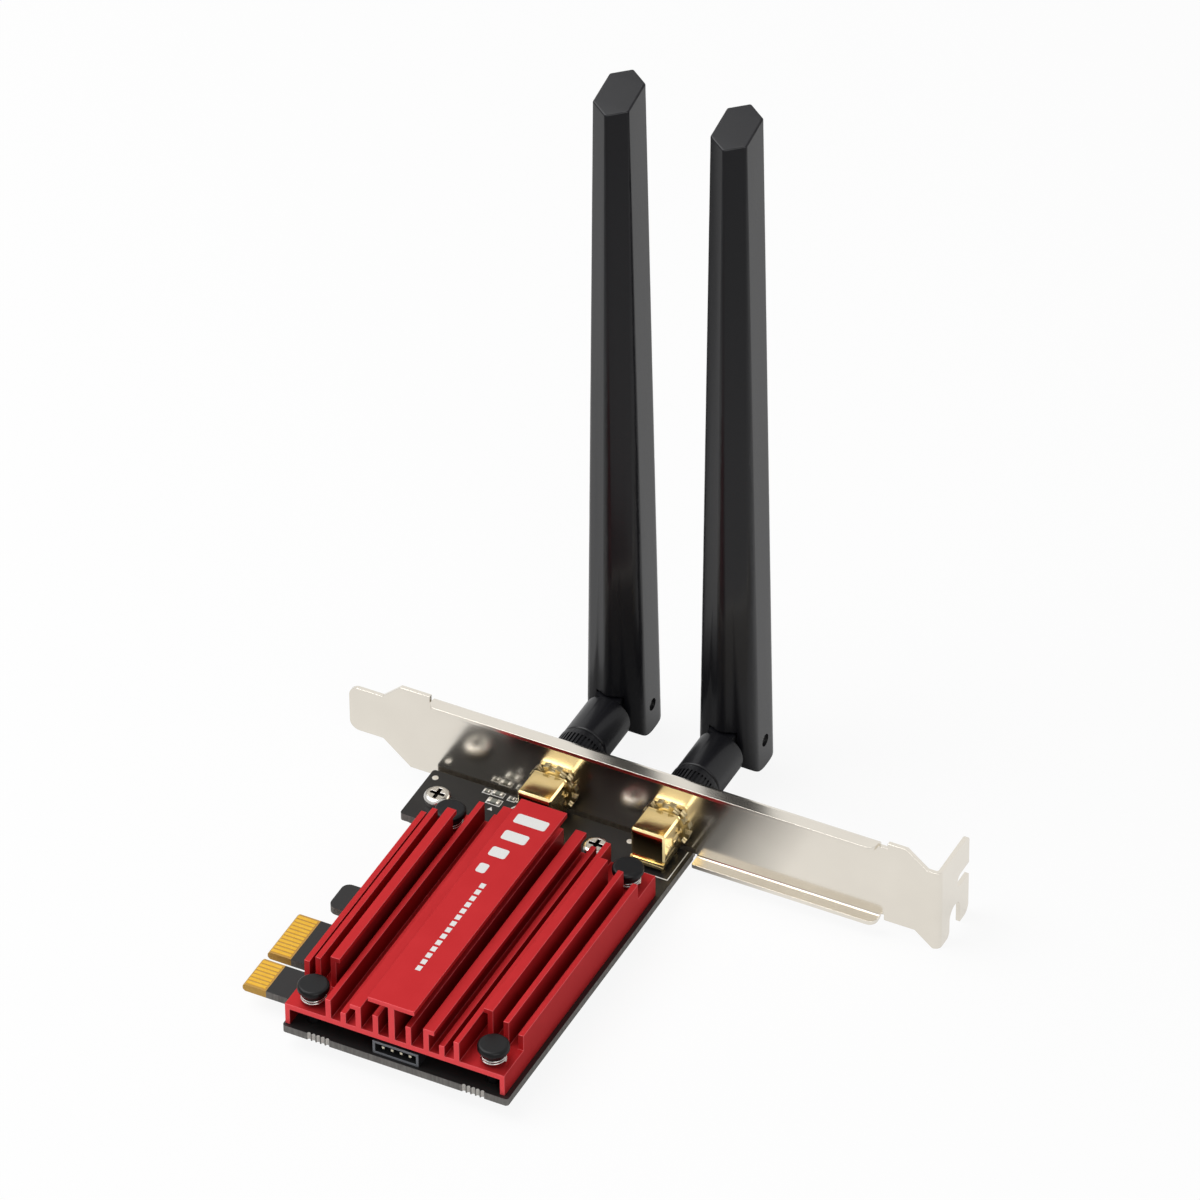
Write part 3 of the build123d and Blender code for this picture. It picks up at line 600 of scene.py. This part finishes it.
# Bracket: one sheet of steel, blanked, folded and bright nickel plated.
# Rolling lines run along the sheet, and its blanked edges are broken before it is plated.
def bright_nickel(place):
    rolled = place.stretched(90, 6000, 6000).noise(1.0, 4)
    cloud = place.noise(120, 2)
    return {
        "Base Color": cloud.between((0.72, 0.675, 0.60, 1), (0.79, 0.745, 0.665, 1)),
        "Metallic": 1.0,
        "Roughness": 0.12 + cloud * 0.06 + rolled * 0.05,
        "Normal": rolled.bump(0.002 * mm, 0.35),
    }


nickel = finish("bracket_nickel", bright_nickel)
broken_edges("bracket", 0.10 * mm, nickel)


# Bracket screws: small pan heads with a cross recess, nickel-plated steel.
# They pass through the board into the bracket's tapped ears, and their cross recesses are painted dark as
# painted shade.
screw_spots = ((8.25 * mm, 51.6 * mm, 0), (40.7 * mm, 51.7 * mm, 0))
recess_level = 1.9 * mm
recess_half = 0.5 * mm
recess_radius = 1.55 * mm


def plated_screw(place):
    turned = place.noise(3500, 3)
    flat = place.stretched(1, 1, 0)
    reach = [flat.node("ShaderNodeVectorMath", {"operation": "DISTANCE"}, {0: flat, 1: spot}, "Value")
             for spot in screw_spots]
    # Painted shade: the cross recesses are painted near black.
    inside = reach[0].math("MINIMUM", *reach) < recess_radius
    recess = inside * (abs(place.along("Z") - recess_level) < recess_half)
    plate = turned.between((0.52, 0.50, 0.47, 1), (0.70, 0.68, 0.65, 1))
    return {
        "Base Color": recess.between(plate, (0.020, 0.018, 0.016, 1)),
        "Metallic": 1.0,
        "Roughness": 0.16 + turned * 0.12 + recess * 0.3,
    }


screw_finish = finish("screw_steel", plated_screw)
broken_edges("bracket_screws", 0.07 * mm, screw_finish)
nodes["radio_screw"].material_slots[0].material = screw_finish


# Coaxial jacks: square gold-plated brass blocks soldered to the board, their barrels through the bracket.
# A toothed washer bites inside the bracket and a nut holds each one outside. Tumbling before plating has
# left the faces of the blocks a little cushioned.
block_middle = (39.65 * mm, 54.5 * mm, 5.5 * mm)
block_half = (3.4 * mm, 3.5 * mm, 3.8 * mm)
block_apart = 11.55 * mm


def polished_gold(place):
    cloud = place.noise(420, 2)
    turned = place.noise(6000, 3)
    x, y, z = (abs(place.along(axis) - middle) for axis, middle in zip("XYZ", block_middle))
    cushion = 0.0
    for reach, half in zip((abs(x - block_apart), y, z), block_half):
        share = reach.math("MINIMUM", reach * (1 / half), 1.0)
        cushion = cushion + share.math("POWER", share, 4.0)
    return {
        "Base Color": cloud.between((0.92, 0.71, 0.33, 1), (0.99, 0.80, 0.44, 1)),
        "Metallic": 1.0,
        "Roughness": 0.10 + turned * 0.08,
        "Normal": (turned * 0.006 + cloud * 0.08 - cushion).bump(0.19 * mm),
    }


def stamped_washer(place):
    skin = place.noise(2500, 3)
    return {
        "Base Color": skin.between((0.34, 0.28, 0.16, 1), (0.52, 0.45, 0.29, 1)),
        "Metallic": 1.0,
        "Roughness": 0.22 + skin * 0.16,
    }


def white_core(place):
    grain = place.noise(3000, 2)
    return {"Base Color": grain.between((0.74, 0.74, 0.72, 1), (0.82, 0.82, 0.80, 1)), "Roughness": 0.45}


jack_gold = finish("jack_gold", polished_gold)
washer_gold = finish("washer_gold", stamped_washer)
core_white = finish("white_insulator", white_core)
for side in ("left", "right"):
    broken_edges(side + "_jack", 0.22 * mm, jack_gold)
    broken_edges(side + "_lock_washer", 0.05 * mm, washer_gold)
    broken_edges(side + "_jack_nut", 0.12 * mm, jack_gold)
    nodes[side + "_jack_pin"].material_slots[0].material = finger_gold
    nodes[side + "_jack_insulator"].material_slots[0].material = core_white
    nodes[side + "_antenna_contact"].material_slots[0].material = core_white


# Aerials: a ridged collar, a round knuckle and a tapering six-sided blade, moulded in black plastic.
# The tool that moulds them is lightly spark-eroded, so the faces are satin under a thin smooth skin.
def satin_black(place):
    erosion = place.noise(5200, 3)
    flow = place.stretched(1, 1, 0.2).noise(140, 2)
    return {
        "Base Color": flow.between((0.003, 0.003, 0.0042, 1), (0.0055, 0.0055, 0.0075, 1)),
        "Roughness": 0.35 + erosion * 0.08 + flow * 0.05,
        "Specular IOR Level": 0.2,
        "Coat Weight": 0.25,
        "Coat Roughness": 0.17,
        "Normal": erosion.bump(0.004 * mm, 0.4),
    }


def collar_black(place):
    erosion = place.noise(5200, 3)
    return {
        "Base Color": erosion.between((0.003, 0.003, 0.004, 1), (0.007, 0.007, 0.009, 1)),
        "Roughness": 0.36 + erosion * 0.12,
        "Specular IOR Level": 0.25,
        "Normal": erosion.bump(0.004 * mm, 0.4),
    }


def plain_steel(place):
    turned = place.stretched(4000, 300, 300).noise(1.0, 3)
    return {
        "Base Color": turned.between((0.30, 0.30, 0.30, 1), (0.44, 0.44, 0.43, 1)),
        "Metallic": 1.0,
        "Roughness": 0.30 + turned * 0.15,
    }


def bare_copper(place):
    cloud = place.noise(900, 3)
    return {
        "Base Color": cloud.between((0.60, 0.26, 0.13, 1), (0.72, 0.36, 0.20, 1)),
        "Metallic": 1.0,
        "Roughness": 0.28 + cloud * 0.2,
    }


aerial_finish = finish("aerial_black", satin_black)
collar_finish = finish("collar_black", collar_black)
pin_finish = finish("hinge_steel", plain_steel)
copper = finish("radiator_copper", bare_copper)
for side in ("left", "right"):
    broken_edges(side + "_antenna_collar", 0.05 * mm, collar_finish)
    broken_edges(side + "_antenna_base", 0.12 * mm, aerial_finish)
    broken_edges(side + "_antenna_blade", 0, aerial_finish)
    nodes[side + "_hinge_pin"].material_slots[0].material = pin_finish
    nodes[side + "_radiator_strip"].material_slots[0].material = copper


# Floor and light: a pale sheet under the card and a bright, even tent round it.
# The tent is white behind the card and dimmer on the lens's side, but for a white sheet above the lens.
# Two large soft lamps shape the faces. In mirrors the floor shows a painted shadow of the card, which falls
# to its right.
shade_left = 3.0 * mm
shade_right = 72.0 * mm
shade_middle = 38.0 * mm
shade_half = 60.0 * mm
shade_fade = 15.0 * mm
shade_depth = 0.82
fall_rate = 5.5
fall_level = 0.78
fall_least = 0.3
straight_share = 0.9
mirrored_share = 0.8
floor_mesh = bmesh.new()
bmesh.ops.create_grid(floor_mesh, x_segments=1, y_segments=1, size=3,
                      matrix=Matrix.Translation((0, 0, cad_box[0].z - 0.05 * mm)))
floor_data = bpy.data.meshes.new("floor")
floor_mesh.to_mesh(floor_data)
floor_mesh.free()
floor = bpy.data.objects.new("floor", floor_data)
bpy.context.scene.collection.objects.link(floor)


def seen_rays(tree, straight, mirrored):
    """What rays straight to the lens get, and what those by way of a mirror or glass get."""
    camera_ray, glossy, through = (Wire(tree).node("ShaderNodeLightPath", {}, {}, name)
                                   for name in ("Is Camera Ray", "Is Glossy Ray", "Is Transmission Ray"))
    return camera_ray * straight + glossy.math("MAXIMUM", glossy, through) * mirrored


floor_finish = bpy.data.materials.new("pale_floor")
floor_finish.use_nodes = True
tree = floor_finish.node_tree
sheet = tree.nodes["Principled BSDF"]
sheet.inputs["Base Color"].default_value = (0.86, 0.86, 0.86, 1)
sheet.inputs["Roughness"].default_value = 0.9
sheet.inputs["Specular IOR Level"].default_value = 0.0
spot = Wire(tree).node("ShaderNodeTexCoord", {}, {}, "Object")
# Seen only in mirrors, the floor's glow is painted: it falls off towards the lens, and holds a painted shadow
# of the card under it and to its right.
fall = spot.along("Y") * fall_rate + fall_level
fall = fall.node("ShaderNodeClamp", {}, {"Value": fall, "Min": fall_least, "Max": 1.0})
painted_shadow_across = (shade_right - spot.along("X")) * (1 / shade_fade)
painted_shadow_across = painted_shadow_across.node("ShaderNodeClamp", {}, {"Value": painted_shadow_across}) * (spot.along("X") > shade_left)
painted_shadow_along = (shade_half - abs(spot.along("Y") - shade_middle)) * (1 / shade_fade)
painted_shadow_along = painted_shadow_along.node("ShaderNodeClamp", {}, {"Value": painted_shadow_along})
fall = fall * (1 - painted_shadow_across * painted_shadow_along * shade_depth)
glow = fall.node("ShaderNodeEmission", {}, {"Color": seen_rays(tree, 1.0, fall), "Strength": 1.0})
seen = seen_rays(tree, straight_share, mirrored_share)
mixed = glow.node("ShaderNodeMixShader", {}, {0: seen, 1: Wire(tree, sheet.outputs[0]), 2: glow})
below_floor = glow.node("ShaderNodeNewGeometry", {}, {}, "Backfacing")
clear = glow.node("ShaderNodeBsdfTransparent", {}, {})
mixed = mixed.node("ShaderNodeMixShader", {}, {0: below_floor, 1: mixed, 2: clear})
tree.links.new(mixed.socket, tree.nodes["Material Output"].inputs["Surface"])
floor_data.materials.append(floor_finish)

ambient = 0.28
tent_rate = 0.4
tent_level = 0.75
tent_least = 0.7
overhead_start = 0.25
overhead_rate = 1.7
overhead_most = 0.3
world = bpy.data.worlds.new("light_tent")
bpy.context.scene.world = world
world.use_nodes = True
tree = world.node_tree
sky = tree.nodes["Background"]
toward = Wire(tree).node("ShaderNodeTexCoord", {}, {}, "Generated")
tent = toward.along("Y") * tent_rate + tent_level
tent = tent.node("ShaderNodeClamp", {}, {"Value": tent, "Min": tent_least, "Max": 1.0})
above_lens = (toward.along("Y") * toward.along("Z") * -1 - overhead_start) * overhead_rate
tent = tent + above_lens.node("ShaderNodeClamp", {}, {"Value": above_lens, "Min": 0.0, "Max": overhead_most})
tree.links.new((ambient + seen_rays(tree, 1 - ambient, tent - ambient)).socket, sky.inputs["Strength"])
sky.inputs["Color"].default_value = (1, 1, 1, 1)

aim = Vector((0.045, 0.03, 0.02))
for name, place, size, power in (
    ("key_lamp", (-0.42, -0.05, 0.85), 0.9, 8.0),
    ("fill_lamp", (0.60, -0.58, 0.45), 0.6, 2.4),
):
    lamp = bpy.data.lights.new(name, "AREA")
    lamp.shape = "DISK"
    lamp.size = size
    lamp.energy = power
    stand = bpy.data.objects.new(name, lamp)
    stand.location = place
    stand.rotation_euler = (aim - Vector(place)).to_track_quat("-Z", "Y").to_euler()
    bpy.context.scene.collection.objects.link(stand)


# Camera: a long lens, far back, at the photograph's angle and framing.
# It stands above the card and to its right, and leans by about half a degree.
look_at = Vector((0.04603, 0.0596, -0.00105))
moved_left = 0.00761
moved_up = 0.04411
lens_distance = 1.9298
swing, rise, lean = (math.radians(v) for v in (27.05, 39.67, -0.56))
level = Vector((math.cos(swing), math.sin(swing), 0))
back = Vector((math.sin(swing) * math.cos(rise), -math.cos(swing) * math.cos(rise), math.sin(rise)))
upward = back.cross(level)
across = level * math.cos(lean) + upward * math.sin(lean)
upright = upward * math.cos(lean) - level * math.sin(lean)
lens = bpy.data.cameras.new("camera")
lens.sensor_width = 36
lens.lens = 317.29
lens.clip_end = 20
camera = bpy.data.objects.new("camera", lens)
stand_point = look_at - across * moved_left + upright * moved_up + back * lens_distance
camera.matrix_world = Matrix.Translation(stand_point) @ Matrix((across, upright, back)).transposed().to_4x4()
bpy.context.scene.collection.objects.link(camera)
bpy.context.scene.camera = camera
bpy.context.scene.view_settings.view_transform = "Standard"
